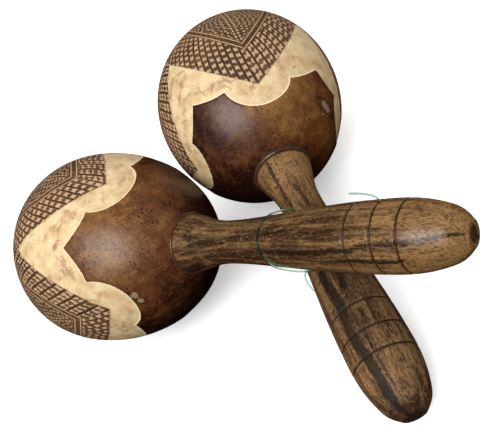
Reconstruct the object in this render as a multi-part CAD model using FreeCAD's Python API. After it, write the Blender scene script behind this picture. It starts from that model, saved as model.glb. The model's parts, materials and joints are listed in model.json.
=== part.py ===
import FreeCAD, Part
import math
import os

# A pair of gourd maracas lying crossed on a table.  Each one is a hollow dried gourd with loose seeds
# in it, glued on the tenon of a turned wooden handle.  The upper maraca's handle lies across the lower
# one's, and a thin thread is wound about the crossing.
# Millimetres, +Z up, the table top at Z = 0, the middle of the pair's footprint at X = Y = 0.

Vector = FreeCAD.Vector

# ---- the two maracas: gourd, handle and how each one lies ----
# radius: of the gourd across its axis.  stem_reach, blossom_reach: from its widest ring to either end,
# both longer than the radius.
# azimuth: which way the handle points, from +X.  tilt: of the handle above the table.
# groove_shares: where the grip's grooves are, as shares of the handle's length.
MARACAS = {
    "lower": {
        "radius": 40.0, "stem_reach": 46.1, "blossom_reach": 43.6, "handle_length": 106.2,
        "centre_x": 42.7, "centre_y": 49.7, "azimuth": -106.0, "tilt": -12.62, "glue_radius": 1.3,
        "groove_shares": (0.677, 0.762, 0.835),
    },
    "upper": {
        "radius": 40.5, "stem_reach": 54.5, "blossom_reach": 41.0, "handle_length": 106.7,
        "centre_x": -42.6, "centre_y": 45.5, "azimuth": -56.0, "tilt": -0.8, "glue_radius": 0.8,
        "groove_shares": (0.688, 0.769, 0.842),
    },
}
GOURD_WALL = 3.0

# ---- handles ----
TENON_RADIUS = 6.5
TENON_INSIDE = 12.0            # how far the tenon stands in past the gourd's outside
TENON_CHAMFER = 1.0
COLLAR_RADIUS = 11.1
# turned outline from the collar's rim, as (share of the length, radius)
HANDLE_OUTLINE = [
    (0.05, 10.2),
    (0.12, 8.4),
    (0.22, 7.75),
    (0.36, 8.5),
    (0.52, 9.8),
    (0.66, 10.7),
    (0.78, 10.95),
    (0.87, 10.4),
    (0.94, 8.6),
    (0.98, 6.3),
]
BUTT_RADIUS = 4.0              # of the flat end grain
GROOVE_DEPTH = 0.5
GROOVE_SLOPE = 1.5             # half the groove's width over its depth
CUTTER_STANDOFF = 0.5          # how far the groove's cutter stands proud of the wood

# ---- seeds, resting in one layer in a sunflower spiral ----
SEED_COUNT = 20
SEED_RADIUS = 2.5
SEED_GAP = 0.3                 # clear space between a resting seed and the gourd's inside
SEED_SPREAD = 3.8
GOLDEN_ANGLE = math.pi * (3.0 - math.sqrt(5.0))

# ---- nylon tie thread, 0.6 mm thick and cut bare at both ends ----
THREAD_RADIUS = 0.3
# from the end beside the lower handle, up between the handles, once round the upper handle's neck,
# back under it and up behind it to the other end
THREAD_ROUTE = [
    (7.3, -38.6, 15.1),
    (6.6, -38.9, 17.1),
    (6.4, -38.7, 19.2),
    (6.7, -37.5, 21.2),
    (7.6, -36.2, 23.2),
    (8.6, -37.1, 25.1),
    (9.9, -38.8, 26.7),
    (11.6, -39.7, 27.9),
    (13.2, -38.5, 28.9),
    (13.3, -35.7, 29.3),
    (13.5, -32.6, 29.9),
    (16.1, -30.9, 31.5),
    (18.7, -30.3, 34.3),
    (20.6, -30.8, 37.8),
    (21.2, -31.7, 41.4),
    (19.9, -31.8, 44.1),
    (17.7, -30.5, 45.4),
    (15.3, -29.2, 46.3),
    (12.7, -29.7, 47.7),
    (9.5, -31.2, 48.5),
    (6.5, -33.0, 47.9),
    (4.0, -34.7, 46.1),
    (2.4, -36.2, 43.3),
    (2.1, -37.5, 40.0),
    (3.0, -38.6, 36.9),
    (4.8, -40.2, 34.6),
    (6.9, -42.9, 33.2),
    (9.6, -45.4, 32.2),
    (12.9, -47.2, 30.3),
    (17.0, -48.5, 28.7),
    (21.9, -49.4, 27.9),
    (27.0, -50.2, 28.5),
    (31.8, -51.2, 30.4),
    (35.9, -52.5, 33.5),
    (38.4, -54.0, 37.5),
    (39.2, -55.6, 41.3),
    (38.7, -56.4, 44.5),
    (37.3, -55.6, 46.6),
    (35.7, -53.8, 47.8),
    (34.0, -51.7, 48.3),
]
CORNER_SHARE = 0.45            # of the shorter run beside it that a corner's arc takes up


def quarter_ellipse(radius, reach, inner, outer):
    """An ellipse's edge between two radii.  reach is longer than radius, and + towards the stem."""
    curve = Part.Ellipse(Vector(0, 0, reach), Vector(radius, 0, 0), Vector(0, 0, 0))
    return Part.ArcOfEllipse(curve, math.asin(inner / radius), math.asin(outer / radius)).toShape()


def ellipse_height(radius, reach, at_radius):
    """How far along the axis an ellipse's edge lies at a radius."""
    return reach * math.sqrt(1.0 - (at_radius / radius) ** 2)


def line(start, end):
    """A straight edge between two (radius, height) points."""
    return Part.makeLine(Vector(start[0], 0, start[1]), Vector(end[0], 0, end[1]))


def turned(edges):
    """The solid that a closed outline makes when it is turned about its Z axis."""
    wire = Part.Wire(Part.__sortEdges__(edges))
    solid = Part.Face(wire).revolve(Vector(0, 0, 0), Vector(0, 0, 1), 360)
    return solid if solid.Volume > 0 else solid.reversed()


def gourd_shell(maraca):
    """A hollow gourd, open only at the hole that the tenon fills."""
    radius, stem, blossom = maraca["radius"], maraca["stem_reach"], maraca["blossom_reach"]
    inner_radius, inner_stem, inner_blossom = radius - GOURD_WALL, stem - GOURD_WALL, blossom - GOURD_WALL
    hole_outside = ellipse_height(radius, stem, TENON_RADIUS)
    hole_inside = ellipse_height(inner_radius, inner_stem, TENON_RADIUS)
    return turned([
        quarter_ellipse(radius, stem, TENON_RADIUS, radius),
        quarter_ellipse(radius, -blossom, 0, radius),
        line((0, -blossom), (0, -inner_blossom)),
        quarter_ellipse(inner_radius, -inner_blossom, 0, inner_radius),
        quarter_ellipse(inner_radius, inner_stem, TENON_RADIUS, inner_radius),
        line((TENON_RADIUS, hole_inside), (TENON_RADIUS, hole_outside)),
    ])


def handle_curve(maraca):
    """The turned outline from the collar's rim to the edge of the flat butt."""
    rim = ellipse_height(maraca["radius"], maraca["stem_reach"], COLLAR_RADIUS)
    length = maraca["handle_length"]
    points = [Vector(COLLAR_RADIUS, 0, rim)]
    points += [Vector(radius, 0, rim + share * length) for share, radius in HANDLE_OUTLINE]
    points.append(Vector(BUTT_RADIUS, 0, rim + length))
    curve = Part.BSplineCurve()
    curve.interpolate(Points=points, InitialTangent=Vector(0, 0, 1), FinalTangent=Vector(-1, 0, 0.4))
    return curve


def radius_at(curve, height):
    """The outline's radius at a height, found by halving, as its height only rises."""
    low, high = curve.FirstParameter, curve.LastParameter
    for _ in range(40):
        middle = (low + high) / 2.0
        if curve.value(middle).z < height:
            low = middle
        else:
            high = middle
    return curve.value(low).x


def groove_cutter(surface_radius, height):
    """A ring with its sharp inner edge at the bottom of the groove."""
    inner = surface_radius - GROOVE_DEPTH
    outer = surface_radius + CUTTER_STANDOFF
    half = (outer - inner) * GROOVE_SLOPE
    return turned([
        line((inner, height), (outer, height + half)),
        line((outer, height + half), (outer, height - half)),
        line((outer, height - half), (inner, height)),
    ])


def handle(maraca):
    """Tenon, flared collar seated on the gourd, neck, grip with three cut grooves, and a blunt butt."""
    radius, stem = maraca["radius"], maraca["stem_reach"]
    shoulder = ellipse_height(radius, stem, TENON_RADIUS)
    tenon_end = shoulder - TENON_INSIDE
    curve = handle_curve(maraca)
    rim = curve.value(curve.FirstParameter).z
    butt = curve.value(curve.LastParameter).z
    body = turned([
        line((0, tenon_end), (TENON_RADIUS - TENON_CHAMFER, tenon_end)),
        line((TENON_RADIUS - TENON_CHAMFER, tenon_end), (TENON_RADIUS, tenon_end + TENON_CHAMFER)),
        line((TENON_RADIUS, tenon_end + TENON_CHAMFER), (TENON_RADIUS, shoulder)),
        quarter_ellipse(radius, stem, TENON_RADIUS, COLLAR_RADIUS),
        curve.toShape(),
        line((BUTT_RADIUS, butt), (0, butt)),
        line((0, butt), (0, tenon_end)),
    ])
    for share in maraca["groove_shares"]:
        height = rim + share * maraca["handle_length"]
        body = body.cut(groove_cutter(radius_at(curve, height), height))
    return body


def glue_bead(maraca, shell, wood):
    """The bead of hardened glue in the corner between the collar and the gourd."""
    corner = ellipse_height(maraca["radius"], maraca["stem_reach"], COLLAR_RADIUS)
    ring = Part.makeTorus(COLLAR_RADIUS, maraca["glue_radius"], Vector(0, 0, corner))
    return ring.cut(shell).cut(wood)


def cavity_share(maraca, point):
    """Below 1 where a seed's centre has room inside the gourd; point is in the gourd's own frame."""
    shrink = GOURD_WALL + SEED_RADIUS + SEED_GAP
    reach = maraca["stem_reach"] if point.z > 0 else maraca["blossom_reach"]
    across = math.hypot(point.x, point.y) / (maraca["radius"] - shrink)
    return across ** 2 + (point.z / (reach - shrink)) ** 2


def column_ends(maraca, placement, x, y):
    """The lowest and highest centre of a seed on a vertical line inside the gourd."""
    inverse = placement.inverse()
    middle = placement.Base.z
    ends = []
    for outside in (0.0, 2.0 * middle):
        inside = middle
        for _ in range(40):
            trial = (inside + outside) / 2.0
            if cavity_share(maraca, inverse.multVec(Vector(x, y, trial))) < 1.0:
                inside = trial
            else:
                outside = trial
        ends.append(inside)
    return ends


def lowest_point(maraca):
    """How far the gourd's centre is above the table, and how far its lowest point lies along its handle."""
    tilt = math.radians(maraca["tilt"])
    reach = maraca["stem_reach"] if tilt < 0 else maraca["blossom_reach"]
    along, across = reach * math.sin(tilt), maraca["radius"] * math.cos(tilt)
    height = math.hypot(along, across)
    slide = (maraca["radius"] ** 2 - reach ** 2) * math.sin(tilt) * math.cos(tilt) / height
    return height, slide


def placement_of(maraca):
    """Turns the maraca's own axis, +Z, to the way its handle points, with the gourd on the table."""
    height, _ = lowest_point(maraca)
    tip = FreeCAD.Rotation(Vector(0, 1, 0), 90.0 - maraca["tilt"])
    turn = FreeCAD.Rotation(Vector(0, 0, 1), maraca["azimuth"])
    return FreeCAD.Placement(Vector(maraca["centre_x"], maraca["centre_y"], height), turn.multiply(tip))


def seeds(maraca, placement):
    """Loose seeds in one layer where the gourd rests, each with its free way up to the gourd's top."""
    _, slide = lowest_point(maraca)
    azimuth = math.radians(maraca["azimuth"])
    low_x = maraca["centre_x"] + slide * math.cos(azimuth)
    low_y = maraca["centre_y"] + slide * math.sin(azimuth)
    for index in range(SEED_COUNT):
        distance = SEED_SPREAD * math.sqrt(index + 0.5)
        angle = index * GOLDEN_ANGLE
        x = low_x + distance * math.cos(angle)
        y = low_y + distance * math.sin(angle)
        bottom, top = column_ends(maraca, placement, x, y)
        yield Part.makeSphere(SEED_RADIUS, Vector(x, y, bottom)), top - bottom


def tie_thread():
    """A round tube along the route's straight runs, with a tangent arc at every corner."""
    route = [Vector(*point) for point in THREAD_ROUTE]
    edges = []
    radii = []
    start = route[0]
    for before, corner, after in zip(route, route[1:], route[2:]):
        back = (before - corner).normalize()
        onward = (after - corner).normalize()
        reach = CORNER_SHARE * min(before.distanceToPoint(corner), after.distanceToPoint(corner))
        half_turn = (math.pi - back.getAngle(onward)) / 2.0
        radius = reach / math.tan(half_turn)
        arc_start, arc_end = corner + back * reach, corner + onward * reach
        middle_way = (back + onward).normalize()
        arc_middle = corner + middle_way * (radius / math.cos(half_turn) - radius)
        edges.append(Part.LineSegment(start, arc_start).toShape())
        edges.append(Part.Arc(arc_start, arc_middle, arc_end).toShape())
        radii.append(radius)
        start = arc_end
    edges.append(Part.LineSegment(start, route[-1]).toShape())
    spine = Part.Wire(edges)
    section = Part.Wire(Part.makeCircle(THREAD_RADIUS, route[0], route[1] - route[0]))
    tube = spine.makePipeShell([section], True, True)
    print("thread is %.1f mm long, radii %s" % (spine.Length, " ".join("%.1f" % r for r in radii)))
    print("thread's volume over its section times its length: %.4f"
          % (tube.Volume / (math.pi * THREAD_RADIUS ** 2 * spine.Length)))
    return tube


def save(shape, name):
    shape.exportStep("parts/" + name + ".step")


def main():
    os.makedirs("parts", exist_ok=True)
    for side, maraca in MARACAS.items():
        placement = placement_of(maraca)
        shell = gourd_shell(maraca)
        wood = handle(maraca)
        bead = glue_bead(maraca, shell, wood)
        for shape, name in ((shell, "gourd"), (wood, "handle"), (bead, "glue_bead")):
            shape.Placement = placement
            save(shape, side + "_" + name)
        for index, (seed, travel) in enumerate(seeds(maraca, placement), start=1):
            name = "%s_seed_%02d" % (side, index)
            save(seed, name)
            print(name, "can rise %.1f mm" % travel)
    save(tie_thread(), "tie_thread")


main()
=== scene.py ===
"""Looks of a pair of carved gourd maracas lying crossed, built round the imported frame.

Metres, in the row frame: +Z up, the table top at Z = 0.  Each maraca also has its own frame, with its
origin at the gourd's centre, +Z along the axis to the handle and -X upwards.
"""

import json
import math

import bpy
import numpy as np
from mathutils import Matrix, Vector
from mathutils.kdtree import KDTree


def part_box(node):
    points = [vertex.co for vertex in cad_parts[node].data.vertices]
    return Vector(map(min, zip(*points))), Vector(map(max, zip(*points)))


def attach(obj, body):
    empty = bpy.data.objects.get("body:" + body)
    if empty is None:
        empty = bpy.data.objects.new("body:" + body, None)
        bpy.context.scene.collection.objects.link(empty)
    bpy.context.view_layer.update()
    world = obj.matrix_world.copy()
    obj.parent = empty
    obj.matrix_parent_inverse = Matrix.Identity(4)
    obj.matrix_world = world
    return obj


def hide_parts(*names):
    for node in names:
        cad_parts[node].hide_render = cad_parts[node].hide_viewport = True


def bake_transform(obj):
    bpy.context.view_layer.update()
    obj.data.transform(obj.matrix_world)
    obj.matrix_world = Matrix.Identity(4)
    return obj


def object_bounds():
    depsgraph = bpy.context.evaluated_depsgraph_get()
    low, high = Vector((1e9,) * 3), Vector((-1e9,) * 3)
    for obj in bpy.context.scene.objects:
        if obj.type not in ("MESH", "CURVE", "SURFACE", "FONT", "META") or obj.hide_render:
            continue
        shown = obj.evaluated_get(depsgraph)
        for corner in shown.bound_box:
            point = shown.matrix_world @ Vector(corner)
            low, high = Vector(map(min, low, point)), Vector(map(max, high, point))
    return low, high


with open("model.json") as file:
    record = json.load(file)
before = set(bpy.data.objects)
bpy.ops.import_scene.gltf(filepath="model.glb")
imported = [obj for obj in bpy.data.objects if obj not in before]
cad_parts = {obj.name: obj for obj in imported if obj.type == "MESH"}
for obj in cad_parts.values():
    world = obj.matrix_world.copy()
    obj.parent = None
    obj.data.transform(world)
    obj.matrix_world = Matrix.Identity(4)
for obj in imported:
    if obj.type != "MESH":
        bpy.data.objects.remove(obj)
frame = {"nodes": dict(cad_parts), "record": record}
cad_low, cad_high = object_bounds()

MM = 0.001
ANY_TURN = 6.28   # radians

# ---- the two maracas ----
# Sizes are as in the CAD model, and angles are in degrees.
# first_petal: the direction of one petal's point, round the axis from the top.  There are four petals, a
# quarter turn apart.
# arm: three points of a petal's edge, as (degrees from its centre line, degrees from the blossom end).
# tops, cusps, notches: how far from the blossom end the scalloped line reaches on each petal.
# slant to fill, and leaf_slope, have one value for the left arm of each petal and one for the right.
# slant: of the hatch's cuts.  row_slope: how far its rows turn from the petal's edge.
# cell_run, cell_row: its pitch along the petal's edge and across, in mm.
# pinch: how much its cells narrow in the middle.  fill: their size, as a share of the usual.
# leaf_line: how far inside the petal's edge the double line is, in mm.  It turns inwards by leaf_slope
# from leaf_bend mm along.
# painted_light_patch: the centre of a painted pool of light on the skin, where it is painted palest, fading
# to darker painted shade away from it, as (degrees from the blossom end, degrees round).
# scuffs: (degrees from the blossom end, degrees round, half length and half width in mm, turn).
# glue_lumps: how uneven the glue bead is, as a share of glue_radius.
# groove_shares: places of the handle's grooves, as shares of its length.
# lump_draws: starts the random waves of the gourd's unevenness.
MARACAS = {
    "lower": {
        "radius": 40.0 * MM, "stem_reach": 46.1 * MM, "blossom_reach": 43.6 * MM,
        "handle_length": 106.2 * MM, "glue_radius": 1.3 * MM, "glue_lumps": 0.25,
        "first_petal": 24.0, "arm": ((0.0, 127.5), (23.0, 111.0), (44.0, 82.0)),
        "tops": (138.5, 137.0, 138.0, 137.5), "notches": (116.0, 119.0, 117.0, 118.0),
        "cusps": ((123.5, 127.0), (125.0, 124.0), (124.5, 126.0), (125.5, 124.5)),
        "groove_shares": (0.677, 0.762, 0.835),
        "slant": (0.9, 0.43), "row_slope": (-0.65, 0.0),
        "cell_run": (3.7, 4.2), "cell_row": (3.4, 2.7), "pinch": (0.3, 0.75),
        "fill": (0.8, 0.97), "leaf_line": 12.4, "leaf_bend": 0.0, "leaf_slope": (0.06, 0.0),
        "painted_light_patch": (142.0, 48.0), "lump_draws": 29,
        "scuffs": ((135.8, 83.5, 4.6, 1.6, 8.0), (140.6, 82.0, 0.8, 0.7, 0.0)),
    },
    "upper": {
        "radius": 40.5 * MM, "stem_reach": 54.5 * MM, "blossom_reach": 41.0 * MM,
        "handle_length": 106.7 * MM, "glue_radius": 0.8 * MM, "glue_lumps": 0.3,
        "first_petal": 9.0, "arm": ((0.0, 124.5), (23.0, 108.0), (44.5, 82.0)),
        "tops": (136.5, 136.0, 137.0, 136.5), "notches": (114.0, 116.0, 115.0, 114.5),
        "cusps": ((122.5, 125.0), (124.0, 123.0), (123.0, 125.0), (125.5, 122.0)),
        "groove_shares": (0.688, 0.769, 0.842),
        "slant": (0.65, 0.45), "row_slope": (-0.5, 0.0),
        "cell_run": (3.1, 4.2), "cell_row": (3.4, 2.05), "pinch": (0.35, 0.75),
        "fill": (0.86, 0.92), "leaf_line": 10.1, "leaf_bend": 26.0, "leaf_slope": (0.22, 0.18),
        "painted_light_patch": (138.0, -25.0), "lump_draws": 14,
        "scuffs": ((138.7, -79.0, 1.9, 1.2, -30.0), (139.6, -86.8, 1.7, 1.0, -20.0)),
    },
}
GOURD_WALL = 3.0 * MM
TENON_RADIUS = 6.5 * MM
TENON_INSIDE = 12.0 * MM
TENON_CHAMFER = 1.0 * MM
COLLAR_RADIUS = 11.1 * MM
HANDLE_OUTLINE = (        # (share of the length from the collar's rim, radius in millimetres)
    (0.0, 11.1), (0.05, 10.2), (0.12, 8.4), (0.22, 7.75), (0.36, 8.5), (0.52, 9.8), (0.66, 10.7),
    (0.78, 10.95), (0.87, 10.4), (0.94, 8.6), (0.98, 6.3), (1.0, 4.0),
)
GROOVE_DEPTH = 0.5 * MM
GROOVE_HALF = 0.75 * MM
TURNING_DEPTH = 0.12 * MM   # of the grip's unevenness, inwards
GLUE_DRAWS = 16             # starts the bead's random waves
THREAD_DIAMETER = 0.6 * MM
THREAD_ROUTE = (          # millimetres, the same points as the CAD thread's
    (7.3, -38.6, 15.1), (6.6, -38.9, 17.1), (6.4, -38.7, 19.2), (6.7, -37.5, 21.2), (7.6, -36.2, 23.2),
    (8.6, -37.1, 25.1), (9.9, -38.8, 26.7), (11.6, -39.7, 27.9), (13.2, -38.5, 28.9), (13.3, -35.7, 29.3),
    (13.5, -32.6, 29.9), (16.1, -30.9, 31.5), (18.7, -30.3, 34.3), (20.6, -30.8, 37.8), (21.2, -31.7, 41.4),
    (19.9, -31.8, 44.1), (17.7, -30.5, 45.4), (15.3, -29.2, 46.3), (12.7, -29.7, 47.7), (9.5, -31.2, 48.5),
    (6.5, -33.0, 47.9), (4.0, -34.7, 46.1), (2.4, -36.2, 43.3), (2.1, -37.5, 40.0), (3.0, -38.6, 36.9),
    (4.8, -40.2, 34.6), (6.9, -42.9, 33.2), (9.6, -45.4, 32.2), (12.9, -47.2, 30.3), (17.0, -48.5, 28.7),
    (21.9, -49.4, 27.9), (27.0, -50.2, 28.5), (31.8, -51.2, 30.4), (35.9, -52.5, 33.5), (38.4, -54.0, 37.5),
    (39.2, -55.6, 41.3), (38.7, -56.4, 44.5), (37.3, -55.6, 46.6), (35.7, -53.8, 47.8), (34.0, -51.7, 48.3),
)

# ---- seeds ----
SEED_WIDTHS = (0.72, 0.85), (0.78, 0.9)   # least and most, as shares of the room for a seed
SEED_LENGTH = 0.98
SEED_DENT = 0.12
SEED_DENT_AT = 1.6        # radians down from one end
SEED_DENT_HALF = 0.35     # radians
SEED_DRAWS = 5            # starts their random shapes

# ---- carving ----
LOBE_HALF = 23.0          # degrees that a petal's big lobe reaches to each side
PETAL_HALF = 45.0
SMALL_LOBE_BULGE = 1.9    # degrees
CARVE_DEPTH = 0.35 * MM   # of the pale band below the skin
CARVE_SLOPE = 0.35 * MM   # width of the cut's wall
LUMP_DEPTH = 0.35 * MM    # of the gourd's own unevenness, inwards
LUMP_WAVES = 6
LUMP_PITCH = (60.0, 150.0)   # radians per metre, longest and shortest wave
LUMPS_END = (150.0, 160.0)   # degrees from the blossom end, before the collar
SEGMENTS = 360
RINGS = 210
INNER_RINGS = 22
PAINTED_LIGHT_SPREAD = 43.0       # degrees over which the painted pool of light on the skin fades
MM_PER_DEGREE = 0.72      # of arc, on both gourds' pattern, near enough
STEM_SHADE = (142.0, 168.0)   # degrees from the blossom end over which the skin darkens
FAR_OFF = 50.0            # any value well outside the carving
DEEP_INSIDE = -30.0       # mm, for the blossom end's distance from the scalloped line
NO_SCUFF = 9.0
HATCH_RELIEF = 0.22 * MM
LEAF_LINE_GAP = 2.1       # mm between the double line's two lines
INNER_SLANT = -0.5
INNER_CELLS = (2.0, 2.1, 0.3, 0.78)   # pitch across and along in mm, pinch and fill
DOT_PITCH = 1.7           # mm along the leaf's spine

# ---- wood ----
END_SPOT = (1.5, 3.6)     # mm from the axis over which the dark spot on the butt's end fades
# dark streaks: (start as a share of the length, degrees round from the top there, end, degrees there,
# half width in degrees, strength)
STREAKS = {
    "lower": (
        (-0.1, -12, 0.32, -20, 5, 0.9), (0.3, -20, 0.56, -18, 6.5, 1.0), (0.5, -18, 1.05, -12, 7.5, 1.35),
        (0.53, 11, 0.65, 11, 6, 1.0), (0.67, 12, 0.78, 14, 5, 0.9), (0.74, 5, 0.97, 3, 2.2, 0.8),
        (0.12, 20, 0.3, 28, 8, 0.7), (0.5, 46, 0.84, 42, 9, 0.6), (0.0, -70, 0.5, -80, 7, 0.7),
        (0.3, 95, 0.95, 110, 9, 0.8), (0.1, 160, 0.9, 175, 10, 0.9), (0.2, -130, 1.0, -120, 8, 0.8),
    ),
    "upper": (
        (0.34, -62, 0.74, -56, 4.5, 1.0), (0.68, -53, 1.02, -37, 5, 0.9), (0.6, -76, 0.88, -74, 3.5, 1.0),
        (0.04, -40, 0.24, -36, 5, 0.8), (0.18, -27, 0.54, -16, 3, 0.8), (0.5, -26, 0.84, -22, 2.5, 0.8),
        (0.23, -12, 0.52, -8, 4, 0.7), (-0.1, 25, 0.2, 40, 8, 0.5), (-0.1, -112, 0.12, -98, 14, 1.0),
        (0.1, 100, 0.8, 110, 8, 0.8), (0.3, 150, 1.05, 165, 9, 0.9), (0.0, -140, 0.7, -150, 8, 0.8),
    ),
}
# how pale the wood is along the handle: (shares of the length, paleness)
WOOD_TONES = {
    "lower": ((0.0, 0.15, 0.3, 0.6, 0.9, 1.0), (0.24, 0.10, -0.02, 0.0, 0.02, -0.2)),
    "upper": ((0.0, 0.1, 0.35, 0.6, 0.8, 1.0), (-0.02, -0.1, -0.14, -0.08, 0.1, 0.18)),
}
# grain_start: where each handle lies in the pattern of the grain, in mm
WOOD_FINISH = {
    "lower": {"grain_start": (40.0, 13.0, 90.0), "roughness": 0.45, "shine": 0.2},
    "upper": {"grain_start": (0.0, 0.0, 0.0), "roughness": 0.16, "shine": 0.4},
}

# ---- camera and table ----
CAMERA_PLACE = Vector((7.5, -191.1, 163.0)) * MM
CAMERA_RIGHT = Vector((0.7122, -0.3966, -0.5792))
CAMERA_UP = Vector((0.7019, 0.4024, 0.5877))
CAMERA_LENS = 44.45       # millimetres, on a sensor 36 mm wide
TABLE_HALF = 3.0
TABLE_GAP = 0.1 * MM      # below the gourds, so that the two don't share a plane


def paint(red, green, blue):
    """A colour on the screen's scale of 0 to 255 as the shader's own."""
    def linear(level):
        share = level / 255.0
        return share / 12.92 if share <= 0.04045 else ((share + 0.055) / 1.055) ** 2.4

    return linear(red), linear(green), linear(blue), 1.0


def smooth(values, low, high):
    """0 below low, 1 above high and an easy curve between."""
    share = np.clip((values - low) / (high - low), 0.0, 1.0)
    return share * share * (3.0 - 2.0 * share)


def own_frame(side):
    """The matrix from a maraca's own frame to the row frame, from its butt mount."""
    maraca = MARACAS[side]
    mount = next(m for m in frame["record"]["mounts"] if m["name"] == side + "_butt")
    along = Vector(mount["axis"]).normalized()
    across = Vector((-along.y, along.x, 0.0)).normalized()
    down = across.cross(along)
    rim = stem_height(maraca, COLLAR_RADIUS)
    centre = Vector(mount["pos_m"]) - along * (rim + maraca["handle_length"])
    turn = Matrix((down, across, along)).transposed().to_4x4()
    return Matrix.Translation(centre) @ turn


def stem_height(maraca, off_axis):
    """How far above its centre the gourd's stem side is, at a distance from the axis."""
    return maraca["stem_reach"] * math.sqrt(1.0 - (off_axis / maraca["radius"]) ** 2)


# ---------------------------------------------------------------- meshes

def to_row_frame(points, matrix):
    """Points of a maraca's own frame, moved to the row frame."""
    turn = np.array(matrix.to_3x3())
    return points @ turn.T + np.array(matrix.translation)


def ring_mesh(name, rings, start=None, end=None):
    """A mesh over rings of points, (ring, segment, 3).  start and end close it at a point; without
    them the last ring joins the first."""
    count, segments = rings.shape[:2]
    points = rings.reshape(-1, 3)
    here = np.arange(count * segments).reshape(count, segments)
    beside = np.roll(here, -1, axis=1)
    if start is None:
        above, above_beside = np.roll(here, -1, axis=0), np.roll(beside, -1, axis=0)
        lower, lower_beside = here, beside
    else:
        lower, lower_beside, above, above_beside = here[:-1], beside[:-1], here[1:], beside[1:]
    quads = np.stack([lower, above, above_beside, lower_beside], axis=-1).reshape(-1, 4)
    faces = quads.tolist()
    if start is not None:
        first = len(points)
        points = np.vstack([points, start, end])
        faces += [(first, a, b) for a, b in zip(here[0], beside[0])]
        faces += [(first + 1, b, a) for a, b in zip(here[-1], beside[-1])]
    mesh = bpy.data.meshes.new(name)
    mesh.from_pydata(points, [], faces)
    mesh.polygons.foreach_set("use_smooth", [True] * len(mesh.polygons))
    mesh.update()
    piece = bpy.data.objects.new(name, mesh)
    bpy.context.collection.objects.link(piece)
    return piece


def add_values(piece, name, values):
    """A number or a vector for every vertex; vertices past the values given get 0."""
    kind = "FLOAT" if values.ndim == 1 else "FLOAT_VECTOR"
    full = np.zeros((len(piece.data.vertices),) + values.shape[1:], np.float32)
    full[:len(values)] = values
    layer = piece.data.attributes.new(name, kind, "POINT")
    layer.data.foreach_set("value" if values.ndim == 1 else "vector", full.ravel())


def finish_piece(piece, body, slot, material, *nodes):
    """Gives a piece its material and its body if it rides on one, and hides the CAD nodes it stands for.
    slot is not used.
    """
    piece.data.materials.clear()
    piece.data.materials.append(material)
    if body:
        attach(piece, body)
    if nodes:
        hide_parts(*nodes)


# ---------------------------------------------------------------- gourds

def gourd_point(maraca, polar, around):
    """Points of the gourd's outside.  polar is in degrees from the blossom end, around from the top."""
    polar, around = np.radians(polar), np.radians(around)
    rise = -np.cos(polar)
    height = rise * np.where(rise > 0, maraca["stem_reach"], maraca["blossom_reach"])
    across = maraca["radius"] * np.sin(polar)
    return np.stack([-across * np.cos(around), across * np.sin(around), height + 0 * around], axis=-1)


def gourd_direction(polar, around):
    """The direction of a point on a round gourd."""
    polar, around = np.radians(polar), np.radians(around)
    across = np.sin(polar)
    return np.stack([-across * np.cos(around), across * np.sin(around), -np.cos(polar)], axis=-1)


def gourd_normal(maraca, points):
    """The outward direction square to the gourd's outside."""
    reach = np.where(points[..., 2] > 0, maraca["stem_reach"], maraca["blossom_reach"])
    scaled = points / np.stack([np.full_like(reach, maraca["radius"] ** 2)] * 2 + [reach ** 2], axis=-1)
    return scaled / np.linalg.norm(scaled, axis=-1, keepdims=True)


def petal_places(maraca, around):
    """Which petal each direction is on, and how many degrees from that petal's centre line."""
    turned = (around - maraca["first_petal"] + PETAL_HALF) % 360.0
    return (turned // 90.0).astype(int) % 4, turned % 90.0 - PETAL_HALF


def scallop_reach(maraca, around):
    """Degrees from the blossom end of the scalloped line.  Each petal has a big round lobe, and a flatter
    one to each side."""
    petal, offset = petal_places(maraca, around)
    right = offset > 0
    cusp = np.array(maraca["cusps"])[petal, right.astype(int)]
    notch = np.array(maraca["notches"])[(petal + right) % 4]
    top = np.array(maraca["tops"])[petal]
    big = cusp + (top - cusp) * np.sqrt(np.clip(1 - (offset / LOBE_HALF) ** 2, 0, 1))
    share = np.clip((np.abs(offset) - LOBE_HALF) / (PETAL_HALF - LOBE_HALF), 0, 1)
    small = cusp + (notch - cusp) * share + SMALL_LOBE_BULGE * np.sin(math.pi * share) ** 0.8
    return np.where(np.abs(offset) < LOBE_HALF, big, small)


def scallop_distance(maraca, polar, around):
    """Distance from the scalloped line in millimetres, + on the skin's side."""
    fine_step, even_step = 0.05, 0.15 * MM
    ring = np.arange(0.0, 360.0, fine_step)
    line = gourd_point(maraca, scallop_reach(maraca, ring), ring)
    line = np.vstack([line, line[:1]])
    run = np.concatenate([[0], np.cumsum(np.linalg.norm(np.diff(line, axis=0), axis=1))])
    even = np.arange(0.0, run[-1], even_step)
    line = np.stack([np.interp(even, run, line[:, k]) for k in range(3)], axis=-1)
    tree = KDTree(len(line))
    for index, point in enumerate(line):
        tree.insert(point, index)
    tree.balance()
    points = gourd_point(maraca, polar, around)
    distance = np.array([tree.find(point)[2] for point in points])
    return np.where(polar > scallop_reach(maraca, around), distance, -distance) / MM


def arm_fields(maraca, polar, offset):
    """Distance from a petal's straight edge, + towards the stem, and the place along it, in millimetres."""
    def on_sphere(degrees_off, degrees_down):
        off, down = np.radians(degrees_off), np.radians(degrees_down)
        return np.stack([np.sin(down) * np.cos(off), np.sin(down) * np.sin(off), -np.cos(down)], axis=-1)

    first, second, third = (on_sphere(*point) for point in maraca["arm"])
    normal = np.cross(second - first, third - first)
    normal *= np.sign(normal[2]) / np.linalg.norm(normal)
    forward = first - normal * (first @ normal)
    forward /= np.linalg.norm(forward)
    sideways = np.cross(normal, forward)
    points = on_sphere(offset, polar)
    distance = np.degrees(np.arcsin(points @ normal) - math.asin(first @ normal))
    run = np.degrees(np.arctan2(points @ sideways, points @ forward))
    return distance * MM_PER_DEGREE, np.abs(run) * MM_PER_DEGREE


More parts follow.
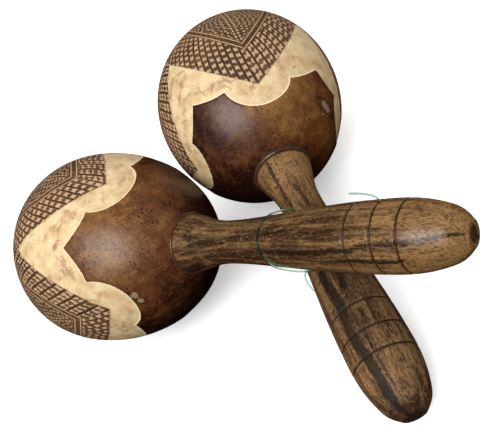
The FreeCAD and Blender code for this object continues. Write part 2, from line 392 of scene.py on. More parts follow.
def scuff_field(maraca, polar, around):
    """Below 1 inside a scuffed place of the skin, 1 on its outline."""
    nearest = np.full(len(polar), NO_SCUFF)
    for down, way, half_length, half_width, turn in maraca["scuffs"]:
        round_mm = (around - way + 180.0) % 360.0 - 180.0
        round_mm = round_mm * math.sin(math.radians(down)) * MM_PER_DEGREE
        down_mm = (polar - down) * MM_PER_DEGREE
        cos, sin = math.cos(math.radians(turn)), math.sin(math.radians(turn))
        first = (round_mm * cos + down_mm * sin) / half_length
        second = (down_mm * cos - round_mm * sin) / half_width
        nearest = np.minimum(nearest, np.hypot(first, second))
    return nearest


def lumps(points, seed):
    """0 to 1, slow and uneven over a gourd."""
    random = np.random.default_rng(seed)
    total = np.zeros(len(points))
    for _ in range(LUMP_WAVES):
        direction = random.normal(size=3)
        direction *= random.uniform(*LUMP_PITCH) / np.linalg.norm(direction)
        total += np.sin(points @ direction + random.uniform(0, ANY_TURN))
    return 0.5 + 0.5 * total / LUMP_WAVES


def gourd(side):
    """A thin hollow gourd with the carved band cut into its outside, and the hole for the tenon."""
    maraca = MARACAS[side]
    hole = 180.0 - math.degrees(math.asin(TENON_RADIUS / maraca["radius"]))
    polar_steps = np.linspace(0.0, hole, RINGS + 1)[1:]
    around_steps = maraca["first_petal"] + np.arange(SEGMENTS) * 360.0 / SEGMENTS
    polar, around = (grid.ravel() for grid in np.meshgrid(polar_steps, around_steps, indexing="ij"))
    outside = gourd_point(maraca, polar, around)
    _, offset = petal_places(maraca, around)
    edge = scallop_distance(maraca, polar, around)
    band, along = arm_fields(maraca, polar, np.abs(offset))
    crossing, _ = arm_fields(maraca, polar, 90.0 - np.abs(offset))
    lump = lumps(outside, maraca["lump_draws"]) * (1.0 - smooth(polar, *LUMPS_END))
    cut = smooth(-edge * MM, -0.3 * CARVE_SLOPE, 0.7 * CARVE_SLOPE)
    outside = outside - gourd_normal(maraca, outside) * (LUMP_DEPTH * lump + CARVE_DEPTH * cut)[:, None]

    hollow = dict(maraca)
    for key in ("radius", "stem_reach", "blossom_reach"):
        hollow[key] -= GOURD_WALL
    inner_hole = 180.0 - math.degrees(math.asin(TENON_RADIUS / hollow["radius"]))
    inner_steps = np.linspace(inner_hole, 0.0, INNER_RINGS + 1)[:-1]
    inner_polar, inner_around = np.meshgrid(inner_steps, around_steps, indexing="ij")
    inside = gourd_point(hollow, inner_polar, inner_around)

    rings = np.concatenate([outside.reshape(RINGS, SEGMENTS, 3), inside])
    ends = np.array([[0, 0, CARVE_DEPTH - maraca["blossom_reach"]], [0, 0, -hollow["blossom_reach"]]])
    matrix = own_frame(side)
    piece = ring_mesh(side + "_gourd_shell", to_row_frame(rings, matrix), *to_row_frame(ends, matrix))

    def add_field(name, values, at_end):
        """Values for the outside and its blossom end.  The inside has no carving."""
        full = np.zeros(rings.size // 3 + 2)
        full[:len(values)] = values
        full[len(values):-2] = FAR_OFF
        full[-2] = at_end
        add_values(piece, name, full)

    band_at_end, along_at_end = (field[0] for field in arm_fields(maraca, np.zeros(1), np.zeros(1)))
    arm_side = np.sin(np.radians(4.0 * offset))
    leaf_slope = np.where(arm_side < 0, *maraca["leaf_slope"])
    leaf = band + maraca["leaf_line"] + leaf_slope * np.maximum(along - maraca["leaf_bend"], 0.0)
    # Painted light and shade: the skin is painted palest round this direction and darker away from it.
    middle = gourd_direction(*maraca["painted_light_patch"])
    away = np.degrees(np.arccos(np.clip(gourd_direction(polar, around) @ middle, -1.0, 1.0)))
    add_field("edge_mm", edge, DEEP_INSIDE)
    add_field("band_mm", band, band_at_end)
    add_field("crossing_mm", crossing, band_at_end)
    add_field("along_mm", along, along_at_end)
    add_field("off_centre_mm", np.abs(offset) * np.sin(np.radians(polar)) * MM_PER_DEGREE, 0.0)
    add_field("arm_side", arm_side, 0.0)
    add_field("leaf_mm", leaf, maraca["leaf_line"] + band_at_end)
    add_field("scuff", scuff_field(maraca, polar, around), NO_SCUFF)
    add_field("polar_deg", polar, 0.0)
    # paleness carries the painted pool of light on the skin, 1 at its centre.
    add_field("paleness", np.exp(-(away / PAINTED_LIGHT_SPREAD) ** 2), 0.0)
    finish_piece(piece, side + "_maraca", "gourd_skin", gourd_material(side), side + "_gourd")


# ---------------------------------------------------------------- handles

def outline_radius(shares):
    """The turned outline's radius in metres, a natural cubic spline through HANDLE_OUTLINE."""
    knots = np.array([point[0] for point in HANDLE_OUTLINE])
    radii = np.array([point[1] for point in HANDLE_OUTLINE]) * MM
    gaps, rises = np.diff(knots), np.diff(radii)
    count = len(knots)
    system, right = np.eye(count), np.zeros(count)
    for k in range(1, count - 1):
        system[k, k - 1:k + 2] = gaps[k - 1], 2 * (gaps[k - 1] + gaps[k]), gaps[k]
        right[k] = 6 * (rises[k] / gaps[k] - rises[k - 1] / gaps[k - 1])
    bend = np.linalg.solve(system, right)
    k = np.clip(np.searchsorted(knots, shares) - 1, 0, count - 2)
    before, after, gap = shares - knots[k], knots[k + 1] - shares, gaps[k]
    return ((bend[k] * after ** 3 + bend[k + 1] * before ** 3) / (6 * gap)
            + (radii[k] / gap - bend[k] * gap / 6) * after
            + (radii[k + 1] / gap - bend[k + 1] * gap / 6) * before)


def handle_shares(maraca):
    """Places along the handle for its rings, closer together at the grooves and the butt."""
    reach = 1.3 * GROOVE_HALF / maraca["handle_length"]
    butt = 0.06
    places = list(np.linspace(0.0, 1.0 - butt, 200))
    places += list(1.0 - butt * np.linspace(1.0, 0.0, 40)[1:] ** 1.6)
    for share in maraca["groove_shares"]:
        places = [place for place in places if abs(place - share) > reach]
        places += list(np.linspace(share - reach, share + reach, 19))
    return np.array(sorted(places))


def handle_profile(maraca):
    """Rows of (radius, height, share of a groove's depth), from the tenon's end to the butt."""
    length = maraca["handle_length"]
    shoulder = stem_height(maraca, TENON_RADIUS)
    tenon_end = shoulder - TENON_INSIDE
    shares = handle_shares(maraca)
    groove = np.zeros_like(shares)
    for share in maraca["groove_shares"]:
        groove = np.maximum(groove, 1.0 - smooth(np.abs(shares - share) * length, 0.0, GROOVE_HALF))
    radii = outline_radius(shares) - GROOVE_DEPTH * groove
    rim = stem_height(maraca, COLLAR_RADIUS)
    profile = [(0.5 * TENON_RADIUS, tenon_end, 0), (TENON_RADIUS - TENON_CHAMFER, tenon_end, 0)]
    profile += [(TENON_RADIUS, tenon_end + TENON_CHAMFER, 0), (TENON_RADIUS, shoulder, 0)]
    seat = np.linspace(TENON_RADIUS, COLLAR_RADIUS, 8)[1:-1]
    profile += [(radius, stem_height(maraca, radius), 0) for radius in seat]
    profile += list(zip(radii, rim + shares * length, groove))
    profile += [(part * radii[-1], rim + length, 0) for part in (0.7, 0.35)]
    return np.array(profile)


def handle(side, segments=160):
    """The turned handle: tenon, seat, flared collar, neck, grip with three cut grooves, blunt butt."""
    maraca = MARACAS[side]
    length = maraca["handle_length"]
    rim = stem_height(maraca, COLLAR_RADIUS)
    profile = handle_profile(maraca)
    angles = np.radians(np.arange(segments) * 360.0 / segments)
    heights = np.repeat(profile[:, 1:2], segments, axis=1)
    uneven = 0.5 + 0.25 * (np.sin(2 * angles + heights * 90.0) + np.sin(angles - heights * 55.0))
    on_grip = smooth(heights, rim + 2 * MM, rim + 12 * MM)
    across = profile[:, 0:1] - TURNING_DEPTH * uneven * on_grip
    rings = np.stack([-across * np.cos(angles), across * np.sin(angles), heights], axis=-1)
    ends = np.array([[0, 0, profile[0, 1]], [0, 0, profile[-1, 1]]])
    matrix = own_frame(side)
    piece = ring_mesh(side + "_turned_handle", to_row_frame(rings, matrix), *to_row_frame(ends, matrix))

    place = np.vstack([rings.reshape(-1, 3), ends]) / MM
    place[:, 2] -= rim / MM
    shares = place[:, 2] * MM / length
    around = np.degrees(np.tile(angles, len(profile)))
    add_values(piece, "wood_mm", place)
    add_values(piece, "groove", np.repeat(profile[:, 2], segments))
    add_values(piece, "paleness", np.interp(shares, *WOOD_TONES[side]))
    add_values(piece, "streak", dark_streaks(side, around, shares[:-2]))
    on_end = place[:, 2] > length / MM - 0.1
    off_axis = np.hypot(place[:, 0], place[:, 1])
    add_values(piece, "end_spot", on_end * (1.0 - smooth(off_axis, *END_SPOT)))
    finish_piece(piece, side + "_maraca", "handle_wood", wood_material(side), side + "_handle")


def dark_streaks(side, around, share):
    """How strongly each point lies on a dark streak of the wood."""
    total = np.zeros(len(around))
    for start, start_way, end, end_way, half, strength in STREAKS[side]:
        centre = start_way + (end_way - start_way) * np.clip((share - start) / (end - start), 0.0, 1.0)
        wander = 0.4 * half * np.sin(share * 30.0 + start_way)
        away = (around - centre - wander + 180.0) % 360.0 - 180.0
        window = smooth(share, start, start + 0.04) * (1.0 - smooth(share, end - 0.04, end))
        total = np.maximum(total, strength * window * np.exp(-0.5 * (away / half) ** 2))
    return total


def glue_ring(side, segments=180, sides=14):
    """The uneven bead of dark glue squeezed out round the collar."""
    maraca = MARACAS[side]
    rim = stem_height(maraca, COLLAR_RADIUS)
    turn = np.radians(np.arange(segments) * 360.0 / segments)
    random = np.random.default_rng(GLUE_DRAWS)
    uneven = sum(np.sin(turn * k + random.uniform(0, ANY_TURN)) / k ** 0.7 for k in (2, 3, 5, 8, 13, 21))
    thick = maraca["glue_radius"] * (1.0 - maraca["glue_lumps"] * smooth(uneven, -1.5, 2.0))
    bead = np.radians(np.arange(sides) * 360.0 / sides)
    across = COLLAR_RADIUS + thick * np.cos(bead)[:, None]
    height = rim + thick * np.sin(bead)[:, None]
    rings = np.stack([-across * np.cos(turn), across * np.sin(turn), height], axis=-1)
    piece = ring_mesh(side + "_glue_ring", to_row_frame(rings, own_frame(side)))
    finish_piece(piece, side + "_maraca", "glue", glue_material(side), side + "_glue_bead")


# ---------------------------------------------------------------- thread

def thread_path():
    """Points along the thread's NURBS line."""
    data = bpy.data.curves.new("thread_route", "CURVE")
    data.dimensions = "3D"
    data.resolution_u = 10
    spline = data.splines.new("NURBS")
    spline.points.add(len(THREAD_ROUTE) - 1)
    for point, place in zip(spline.points, THREAD_ROUTE):
        point.co = (*(Vector(place) * MM), 1.0)
    spline.order_u = 3
    spline.use_endpoint_u = True
    holder = bpy.data.objects.new("thread_route", data)
    bpy.context.collection.objects.link(holder)
    bpy.context.view_layer.update()
    line = bpy.data.meshes.new_from_object(holder)
    points = np.array([v.co for v in line.vertices])
    bpy.data.objects.remove(holder)
    return points


def thread(sides=10):
    """The nylon tie: a thin round tube along the path, its ends cut square."""
    path = thread_path()
    ahead = np.gradient(path, axis=0)
    ahead /= np.linalg.norm(ahead, axis=1, keepdims=True)
    normal = np.cross(ahead[0], (0.0, 0.0, 1.0))
    turn = np.radians(np.arange(sides) * 360.0 / sides)
    rings = []
    for point, forward in zip(path, ahead):
        normal = normal - forward * (normal @ forward)
        normal /= np.linalg.norm(normal)
        sideways = np.cross(forward, normal)
        out = np.cos(turn)[:, None] * normal - np.sin(turn)[:, None] * sideways
        rings.append(point + 0.5 * THREAD_DIAMETER * out)
    piece = ring_mesh("tie_line", np.array(rings), path[0], path[-1])
    finish_piece(piece, None, "thread", thread_material(), "tie_thread")
    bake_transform(piece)


# ---------------------------------------------------------------- seeds

def seeds(segments=14, ring_count=9):
    """Small uneven seeds, one for each loose seed of the frame and no bigger."""
    material = seed_material()
    turn = np.radians(np.arange(segments) * 360.0 / segments)
    down = np.radians(np.linspace(0.0, 180.0, ring_count + 2))[:, None]
    dent = np.exp(-((down - SEED_DENT_AT) / SEED_DENT_HALF) ** 2) * (1 + np.cos(turn)) / 2
    across = (1.0 - SEED_DENT * dent) * np.sin(down)
    bean = np.stack([across * np.cos(turn), -across * np.sin(turn), -np.cos(down) + 0 * turn], axis=-1)
    random = np.random.default_rng(SEED_DRAWS)
    for name in sorted(n for n in frame["nodes"] if "_seed_" in n):
        low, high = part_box(name)
        centre = np.array((Vector(low) + Vector(high)) / 2.0)
        radius = (high[2] - low[2]) / 2.0
        squeeze = np.array([random.uniform(*widths) for widths in SEED_WIDTHS] + [SEED_LENGTH])
        angle = random.uniform(0, ANY_TURN)
        axis = Vector(random.normal(size=3)).normalized()
        twist = np.array(Matrix.Rotation(angle, 3, axis))
        placed = (bean * squeeze * radius) @ twist.T + centre
        piece = ring_mesh(name + "_bean", placed[1:-1], placed[0, 0], placed[-1, 0])
        finish_piece(piece, name, "seed", material, name)


# ---------------------------------------------------------------- materials

class Nodes:
    """A material's nodes.  A value is a number, a tuple or another node's output."""

    def __init__(self, name):
        self.material = bpy.data.materials.new(name)
        self.material.use_nodes = True
        self.tree = self.material.node_tree
        self.shader = self.tree.nodes["Principled BSDF"]

    def put(self, socket, value):
        if isinstance(value, bpy.types.NodeSocket):
            self.tree.links.new(value, socket)
        else:
            socket.default_value = value

    def surface(self, **values):
        for key, value in values.items():
            self.put(self.shader.inputs[key.replace("_", " ")], value)

    def node(self, kind, settings, values):
        made = self.tree.nodes.new("ShaderNode" + kind)
        for key, value in settings.items():
            setattr(made, key, value)
        for key, value in values.items():
            self.put(made.inputs[key], value)
        return made

    def math(self, operation, *values):
        return self.node("Math", {"operation": operation}, dict(enumerate(values))).outputs[0]

    def plus(self, first, second):
        return self.math("ADD", first, second)

    def minus(self, first, second):
        return self.math("SUBTRACT", first, second)

    def times(self, first, second):
        return self.math("MULTIPLY", first, second)

    def times_plus(self, value, factor, rest):
        return self.math("MULTIPLY_ADD", value, factor, rest)

    def larger(self, first, second):
        return self.math("MAXIMUM", first, second)

    def mix(self, share, first, second):
        """first where share is 0 and second where it is 1."""
        return self.node("Mix", {"data_type": "RGBA"}, {0: share, 6: first, 7: second}).outputs[2]

    def over(self, under, colour, share, strength):
        """colour laid over under, as strongly as share times strength."""
        return self.mix(self.times(share, strength), under, colour)

    def step(self, value, low, high):
        """0 up to low and 1 from high; high may be the smaller."""
        settings = {"interpolation_type": "SMOOTHSTEP"}
        values = {"Value": value, "From Min": low, "From Max": high}
        return self.node("MapRange", settings, values).outputs["Result"]

    def stripe(self, value, centre, half, soft):
        """1 within half of centre, falling to 0 over soft."""
        away = self.math("ABSOLUTE", self.minus(value, centre))
        return self.step(away, half + soft, half)

    def number(self, name):
        return self.node("Attribute", {"attribute_name": name}, {}).outputs["Fac"]

    def vector(self, name):
        return self.node("Attribute", {"attribute_name": name}, {}).outputs["Vector"]

    def row_place(self):
        """Millimetres in the row frame at rest."""
        place = self.node("TexCoord", {}, {}).outputs["Object"]
        return self.scaled(place, (1.0 / MM, 1.0 / MM, 1.0 / MM))

    def scaled(self, place, factors):
        return self.node("VectorMath", {"operation": "MULTIPLY"}, {0: place, 1: factors}).outputs[0]

    def moved(self, place, amount):
        return self.node("VectorMath", {"operation": "ADD"}, {0: place, 1: amount}).outputs[0]

    def noise(self, place, size, detail=3.0, rough=0.5, warp=0.0):
        """0 to 1, in patches of about size millimetres."""
        values = {"Vector": place, "Scale": 1.0 / size}
        values.update({"Detail": detail, "Roughness": rough, "Distortion": warp})
        return self.node("TexNoise", {}, values).outputs[0]

    def wobble(self, place, size, detail, rough=0.5):
        """The same noise, about zero."""
        return self.minus(self.noise(place, size, detail, rough), 0.5)

    def chance(self, dimensions, **values):
        """A random number from 0 to 1 for each value."""
        return self.node("TexWhiteNoise", {"noise_dimensions": dimensions}, values).outputs["Value"]

    def spots(self, place, size):
        """Distance from the nearest of points scattered about size millimetres apart."""
        return self.node("TexVoronoi", {}, {"Vector": place, "Scale": 1.0 / size}).outputs["Distance"]

    def bump(self, height, depth):
        """depth in metres for a height that goes from 0 to 1."""
        return self.node("Bump", {}, {"Height": height, "Distance": depth, "Strength": 1.0}).outputs[0]


def cells(nodes, across, along, row_pitch, run_pitch, pinch, fill):
    """Uneven pale cells in columns between long cuts.  Two values: 1 on a cell, and 1 on a cut."""
    run = nodes.math("DIVIDE", along, run_pitch)
    column = nodes.math("FLOOR", run)
    stagger = nodes.math("PINGPONG", column, 1.0)
    shift = nodes.times_plus(stagger, 0.5, nodes.times(nodes.chance("1D", W=column), 0.3))
    row = nodes.plus(shift, nodes.math("DIVIDE", across, row_pitch))
    row_off = nodes.math("ABSOLUTE", nodes.minus(nodes.math("FRACT", row), 0.5))
    run_off = nodes.math("ABSOLUTE", nodes.minus(nodes.math("FRACT", run), 0.5))
    index = nodes.node("CombineXYZ", {}, {0: nodes.math("FLOOR", row), 1: column}).outputs[0]
    chance = nodes.chance("2D", Vector=index)
    waist = nodes.times(nodes.step(run_off, 0.20, 0.03), nodes.plus(chance, 0.35))
    waist = nodes.times(waist, pinch)
    other_chance = nodes.math("FRACT", nodes.times(chance, 7.0))
    half = nodes.times(nodes.times_plus(other_chance, 0.16, 0.26), fill)
    half = nodes.times(half, nodes.minus(1.0, waist))
    row_part = nodes.step(nodes.minus(row_off, half), 0.08, -0.08)
    run_part = nodes.step(nodes.minus(run_off, nodes.times(fill, 0.38)), 0.05, -0.05)
    return nodes.times(row_part, run_part), nodes.step(run_off, 0.39, 0.46)


def skin_colour(nodes, place, mottle, fine):
    """Stained skin, with a painted pool of light where it is palest and painted shade darkest at the stem,
    with its pores, blots and scuffs.
    """
    tone = nodes.plus(nodes.times(nodes.noise(place, 24.0, 4.0, 0.55), 0.65), nodes.times(mottle, 0.5))
    patches = nodes.wobble(nodes.moved(place, (17.0, 3.0, 80.0)), 7.0, 5.0, 0.65)
    tone = nodes.times_plus(patches, 0.32, tone)
    # Painted light and shade: paleness lifts the tone round the painted pool of light, and stem_shade
    # lowers it towards the stem, so the colours below are painted golden where lit and dark red-brown in
    # shade.
    tone = nodes.times_plus(nodes.number("paleness"), 0.44, tone)
    stem_shade = nodes.step(nodes.number("polar_deg"), *STEM_SHADE)
    tone = nodes.minus(nodes.times_plus(stem_shade, -0.14, tone), 0.06)
    skin = nodes.mix(nodes.step(tone, 0.50, 0.80), paint(32, 8, 5), paint(93, 52, 23))
    skin = nodes.mix(nodes.step(tone, 0.76, 1.0), skin, paint(128, 88, 42))
    skin = nodes.over(skin, paint(24, 8, 4), nodes.step(fine, 0.52, 0.66), 0.6)
    skin = nodes.over(skin, paint(146, 106, 58), nodes.step(fine, 0.46, 0.32), 0.26)
    patchy = nodes.step(nodes.noise(place, 9.0, 4.0, 0.6), 0.50, 0.62)
    pores = nodes.times(nodes.step(nodes.spots(place, 1.6), 0.36, 0.22), patchy)
    skin = nodes.over(skin, paint(24, 11, 7), pores, 0.8)
    blots = nodes.step(nodes.times_plus(mottle, 0.16, nodes.spots(place, 11.0)), 0.19, 0.13)
    skin = nodes.over(skin, paint(28, 12, 8), blots, 0.85)
    torn = nodes.wobble(nodes.moved(place, (12.0, 60.0, 4.0)), 1.6, 2.0)
    scuff = nodes.times_plus(torn, 1.4, nodes.number("scuff"))
    worn = nodes.mix(nodes.noise(place, 1.2), paint(70, 56, 38), paint(172, 158, 132))
    skin = nodes.over(skin, worn, nodes.step(scuff, 1.0, 0.6), 0.75)
    return nodes.over(skin, paint(40, 18, 12), nodes.stripe(scuff, 1.2, 0.12, 0.2), 0.6)


def band_colour(nodes, place, edge, fine, wobble):
    """The scraped pale band: stained and veined away from its edge, rubbed, with a bright rim that is
    partly the pale cut and partly a painted highlight.
    """
    grain = nodes.noise(place, 5.5, 5.0, 0.6)
    cream = nodes.mix(nodes.step(grain, 0.35, 0.7), paint(212, 190, 147), paint(190, 158, 113))
    stain_map = nodes.noise(nodes.moved(place, (5.0, 40.0, 9.0)), 7.0, 6.0, 0.66, 0.8)
    stain = nodes.times(nodes.step(stain_map, 0.55, 0.68), nodes.step(edge, -0.8, -2.6))
    cream = nodes.over(cream, paint(128, 84, 58), stain, 0.45)
    vein_map = nodes.noise(nodes.moved(place, (70.0, 12.0, 5.0)), 10.0, 5.0, 0.6, 0.5)
    vein = nodes.times(nodes.stripe(vein_map, 0.5, 0.004, 0.045), nodes.step(stain_map, 0.46, 0.58))
    vein = nodes.times(vein, nodes.step(edge, -1.5, -3.2))
    cream = nodes.over(cream, paint(130, 80, 56), vein, 0.5)
    cream = nodes.over(cream, paint(150, 108, 70), nodes.step(fine, 0.52, 0.74), 0.45)
    rubbed = nodes.stripe(nodes.times_plus(wobble, 3.0, edge), -4.6, 0.2, 1.3)
    rubbed = nodes.times(rubbed, nodes.step(stain_map, 0.42, 0.60))
    cream = nodes.over(cream, paint(150, 98, 74), rubbed, 0.5)
    # The bright rim along the cut edge is partly the pale cut line and partly a painted highlight.
    return nodes.over(cream, paint(236, 222, 190), nodes.stripe(edge, -0.3, 0.1, 0.2), 0.6)


def outer_and_inner_cells(nodes, side, band, inside, run_wobble, row_wobble):
    """Two values: 1 on the cells outside the double line and the smaller ones inside it, and 1 on the
    long cuts."""
    maraca = MARACAS[side]
    on_right = nodes.step(nodes.number("arm_side"), -0.01, 0.01)

    def of_arm(key):
        left, right = maraca[key]
        return nodes.times_plus(on_right, right - left, left)

    along = nodes.number("along_mm")
    slanted = nodes.times_plus(band, of_arm("slant"), along)
    slanted = nodes.times_plus(run_wobble, 1.2, slanted)
    across = nodes.times_plus(row_wobble, 1.3, band)
    outer_across = nodes.times_plus(along, of_arm("row_slope"), across)
    sizes = (of_arm(key) for key in ("cell_row", "cell_run", "pinch", "fill"))
    outer, cuts = cells(nodes, outer_across, slanted, *sizes)
    inner_along = nodes.times_plus(band, INNER_SLANT, along)
    inner, _ = cells(nodes, across, inner_along, *INNER_CELLS)
    return nodes.mix(inside, outer, nodes.times(inner, 0.85)), cuts


def hatch_pattern(nodes, side, band, wobble, run_wobble, row_wobble):
    """Two values: 1 where the hatch is left pale, and 1 on the long cuts.  Pale are the cells, a dotted
    spine, the double line and the petals' edges.  The cells are fainter where two petals overlap."""
    leaf = nodes.times_plus(wobble, 0.2, nodes.number("leaf_mm"))
    inside = nodes.step(leaf, -2.9, -3.1)
    pale, cuts = outer_and_inner_cells(nodes, side, band, inside, run_wobble, row_wobble)
    off_centre = nodes.number("off_centre_mm")
    spine = nodes.times(nodes.stripe(off_centre, 0.0, 1.45, 0.15), inside)
    dot_run = nodes.math("FRACT", nodes.times(nodes.number("polar_deg"), MM_PER_DEGREE / DOT_PITCH))
    dots = nodes.times(nodes.stripe(off_centre, 0.85, 0.35, 0.2), nodes.stripe(dot_run, 0.5, 0.26, 0.1))
    pale = nodes.mix(spine, pale, dots)
    between_lines = nodes.stripe(leaf, -0.5 * LEAF_LINE_GAP, 1.6, 0.2)
    pale = nodes.times(pale, nodes.minus(1.0, between_lines))
    crossing = nodes.times_plus(run_wobble, 0.4, nodes.number("crossing_mm"))
    in_lens = nodes.step(crossing, 0.1, -0.1)
    pale = nodes.times(pale, nodes.times_plus(in_lens, -0.4, 1.0))
    lines = nodes.larger(nodes.stripe(leaf, 0.0, 0.14, 0.2), nodes.stripe(leaf, -LEAF_LINE_GAP, 0.14, 0.2))
    lines = nodes.larger(lines, nodes.stripe(crossing, 0.0, 0.16, 0.18))
    return nodes.larger(pale, lines), cuts


def hatch_colour(nodes, place, pale, cuts):
    """Pale cells on scorched ground, darkest in the cuts and in a few burnt places."""
    cell = nodes.mix(nodes.noise(place, 1.6, 2.0), paint(196, 164, 126), paint(160, 124, 88))
    ground = nodes.mix(nodes.noise(place, 2.2, 4.0), paint(62, 38, 24), paint(116, 84, 54))
    burnt = nodes.step(nodes.noise(nodes.moved(place, (9.0, 2.0, 33.0)), 14.0, 3.0), 0.48, 0.62)
    ground = nodes.over(ground, paint(48, 26, 20), burnt, 0.5)
    ground = nodes.over(ground, paint(42, 23, 15), cuts, 0.8)
    return nodes.mix(pale, ground, cell)


def gourd_material(side):
    """Dark varnished skin, the pale band cut through it, and the burnt crosshatch inside the band."""
    nodes = Nodes(side + "_carved_gourd")
    place = nodes.row_place()
    wobble = nodes.wobble(place, 2.6, 2.0)
    run_wobble = nodes.wobble(nodes.moved(place, (31.0, 7.0, 3.0)), 2.2, 2.0)
    row_wobble = nodes.wobble(nodes.moved(place, (3.0, 50.0, 21.0)), 1.9, 0.0)
    mottle = nodes.noise(place, 3.0, 6.0, 0.72)
    fine = nodes.noise(place, 0.6, 3.0, 0.65)

    edge = nodes.number("edge_mm")
    band = nodes.times_plus(wobble, 0.3, nodes.number("band_mm"))
    in_band = nodes.step(edge, 0.08, -0.08)
    in_hatch = nodes.step(band, 0.12, -0.12)
    pale, cuts = hatch_pattern(nodes, side, band, wobble, run_wobble, row_wobble)

    cream = band_colour(nodes, place, edge, fine, run_wobble)
    cream = nodes.over(cream, paint(120, 84, 56), nodes.stripe(band, 0.15, 0.1, 0.2), 0.5)
    carved = nodes.mix(in_hatch, cream, hatch_colour(nodes, place, pale, cuts))
    colour = nodes.mix(in_band, skin_colour(nodes, place, mottle, fine), carved)
    skin_roughness = nodes.times_plus(fine, 0.16, 0.27)
    carved_roughness = nodes.times_plus(fine, 0.2, 0.42)
    burnt_in = nodes.times(nodes.times(in_hatch, in_band), nodes.minus(1.0, pale))
    height = nodes.minus(nodes.times(nodes.plus(mottle, fine), 0.12), burnt_in)
    nodes.surface(Base_Color=colour, Normal=nodes.bump(height, HATCH_RELIEF), Specular_IOR_Level=0.48,
                  Roughness=nodes.mix(in_band, skin_roughness, carved_roughness))
    return nodes.material


def wood_material(side):
    """Varnished brown wood with long dark streaks and fine flecks along the grain."""
    finish = WOOD_FINISH[side]
    nodes = Nodes(side + "_handle_wood")
    place = nodes.moved(nodes.vector("wood_mm"), finish["grain_start"])
    long_grain = nodes.scaled(place, (1.0, 1.0, 0.055))
    fibres = nodes.noise(long_grain, 0.9, 6.0, 0.65)
    bands = nodes.noise(long_grain, 3.4, 4.0, 0.55, 0.4)
    flecks = nodes.noise(nodes.scaled(place, (1.0, 1.0, 0.35)), 0.5, 4.0, 0.65)
    figure = nodes.noise(nodes.scaled(place, (1.0, 1.0, 0.6)), 5.0, 4.0, 0.6, 1.2)
    tone = nodes.plus(nodes.times(fibres, 0.45), nodes.times(bands, 0.55))
    tone = nodes.plus(tone, nodes.times(nodes.number("paleness"), 0.6))
    wood = nodes.mix(nodes.step(tone, 0.36, 0.66), paint(48, 29, 17), paint(132, 98, 60))
    wood = nodes.over(wood, paint(150, 120, 78), nodes.step(figure, 0.5, 0.75), 0.35)
    wood = nodes.over(wood, paint(40, 25, 15), nodes.step(flecks, 0.50, 0.63), 0.75)
    wood = nodes.over(wood, paint(168, 134, 86), nodes.step(flecks, 0.45, 0.34), 0.25)
    ragged = nodes.times_plus(nodes.minus(fibres, 0.5), 1.6, nodes.number("streak"))
    ragged = nodes.times_plus(nodes.minus(flecks, 0.5), 1.6, ragged)
    wood = nodes.over(wood, paint(28, 17, 11), nodes.step(ragged, 0.22, 0.95), 0.9)
    wood = nodes.over(wood, paint(34, 20, 13), nodes.step(nodes.number("groove"), 0.45, 0.9), 0.9)
    wood = nodes.over(wood, paint(40, 26, 18), nodes.step(nodes.number("end_spot"), 0.3, 0.7), 0.8)
    height = nodes.plus(fibres, nodes.times(flecks, 0.6))
    nodes.surface(Base_Color=wood, Normal=nodes.bump(height, 0.08 * MM),
                  Roughness=nodes.times_plus(fibres, 0.2, finish["roughness"]),
                  Specular_IOR_Level=finish["shine"])
    return nodes.material


def glue_material(side):
    """Dark hard glue, glossy and uneven."""
    nodes = Nodes(side + "_hard_glue")
    place = nodes.row_place()
    cloud = nodes.noise(place, 2.5, 4.0, 0.6)
    nodes.surface(Base_Color=nodes.mix(cloud, paint(36, 21, 13), paint(84, 60, 42)),
                  Roughness=nodes.times_plus(cloud, 0.2, 0.1),
                  Normal=nodes.bump(nodes.noise(place, 1.2), 0.15 * MM))
    return nodes.material


def thread_material():
    """Clear green nylon."""
    nodes = Nodes("green_nylon")
    cloud = nodes.noise(nodes.row_place(), 3.0, 2.0)
    nodes.surface(Base_Color=nodes.mix(cloud, paint(136, 184, 152), paint(168, 208, 180)),
                  Roughness=nodes.times_plus(cloud, 0.15, 0.15), Transmission_Weight=1.0, IOR=1.15)
    return nodes.material


def seed_material():
    """Dry brown seeds."""
    nodes = Nodes("dry_seed")
    place = nodes.row_place()
    cloud = nodes.noise(place, 1.5, 4.0, 0.6)
    nodes.surface(Base_Color=nodes.mix(cloud, paint(70, 44, 26), paint(164, 122, 74)),
                  Roughness=nodes.times_plus(cloud, 0.3, 0.4),
                  Normal=nodes.bump(nodes.noise(place, 0.4), 0.08 * MM))
    return nodes.material


# ---------------------------------------------------------------- stage

def soft_light(name, direction, distance, width, height, radiance, shines=True):
    """A softbox facing the middle of the pair.  radiance 1 is white paper's at full exposure."""
    data = bpy.data.lights.new(name, "AREA")
    data.shape = "RECTANGLE"
    data.size, data.size_y = width, height
    data.energy = radiance * math.pi * width * height
    light = bpy.data.objects.new(name, data)
    middle = (Vector(cad_low) + Vector(cad_high)) / 2.0
    way = Vector(direction).normalized()
    light.location = middle + way * distance
    light.rotation_mode = "QUATERNION"
    light.rotation_quaternion = way.to_track_quat("Z", "Y")
    light.visible_glossy = shines
    bpy.context.collection.objects.link(light)


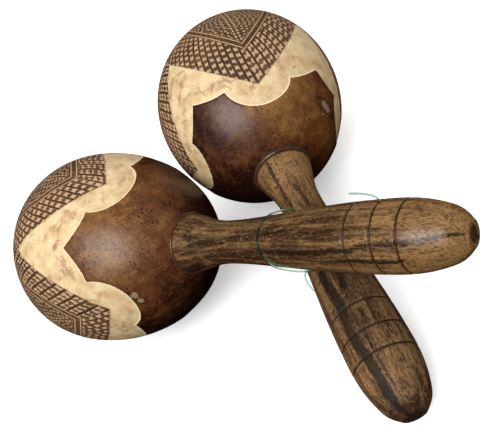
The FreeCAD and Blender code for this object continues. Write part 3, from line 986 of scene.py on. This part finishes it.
def pale_room():
    """A white sky that darkens below the table, and doesn't show in the varnish."""
    world = bpy.data.worlds.new("pale_room")
    bpy.context.scene.world = world
    world.use_nodes = True
    tree = world.node_tree
    place = tree.nodes.new("ShaderNodeTexCoord")
    parts = tree.nodes.new("ShaderNodeSeparateXYZ")
    share = tree.nodes.new("ShaderNodeMapRange")
    share.inputs["From Min"].default_value = -0.25
    share.inputs["From Max"].default_value = -0.12
    background = tree.nodes["Background"]
    background.inputs["Color"].default_value = (1.0, 1.0, 1.0, 1.0)
    tree.links.new(place.outputs["Generated"], parts.inputs[0])
    tree.links.new(parts.outputs["Z"], share.inputs["Value"])
    tree.links.new(share.outputs["Result"], background.inputs["Strength"])
    world.cycles_visibility.glossy = False


def stage():
    """White table, pale surroundings and two soft lights."""
    mesh = bpy.data.meshes.new("table_top")
    corners = [(x * TABLE_HALF, y * TABLE_HALF, 0) for x, y in ((-1, -1), (1, -1), (1, 1), (-1, 1))]
    mesh.from_pydata(corners, [], [(0, 1, 2, 3)])
    floor = bpy.data.objects.new("table_top", mesh)
    floor.location.z = cad_low[2] - TABLE_GAP
    floor.visible_diffuse = False
    floor.visible_glossy = False
    bpy.context.collection.objects.link(floor)
    nodes = Nodes("white_table")
    nodes.surface(Base_Color=(0.95, 0.95, 0.95, 1.0), Roughness=0.8,
                  Emission_Color=(1.0, 1.0, 1.0, 1.0), Emission_Strength=0.36)
    mesh.materials.append(nodes.material)
    pale_room()
    bpy.context.scene.view_settings.view_transform = "Standard"
    soft_light("window", (-0.38, -0.56, 0.74), distance=0.55, width=0.36, height=0.36, radiance=6.0)
    soft_light("fill", (0.75, -0.1, 0.65), distance=0.8, width=0.6, height=0.6, radiance=0.5, shines=False)


def camera():
    """The view that the renders are made from."""
    data = bpy.data.cameras.new("view")
    data.sensor_width = 36.0
    data.lens = CAMERA_LENS
    data.clip_start, data.clip_end = 0.01, 20.0
    view = bpy.data.objects.new("view", data)
    right = CAMERA_RIGHT.normalized()
    back = right.cross(CAMERA_UP).normalized()
    up = back.cross(right)
    view.matrix_world = Matrix.Translation(CAMERA_PLACE) @ Matrix((right, up, back)).transposed().to_4x4()
    bpy.context.collection.objects.link(view)
    bpy.context.scene.camera = view


camera()
stage()
for maraca_side in MARACAS:
    gourd(maraca_side)
    handle(maraca_side)
    glue_ring(maraca_side)
thread()
seeds()
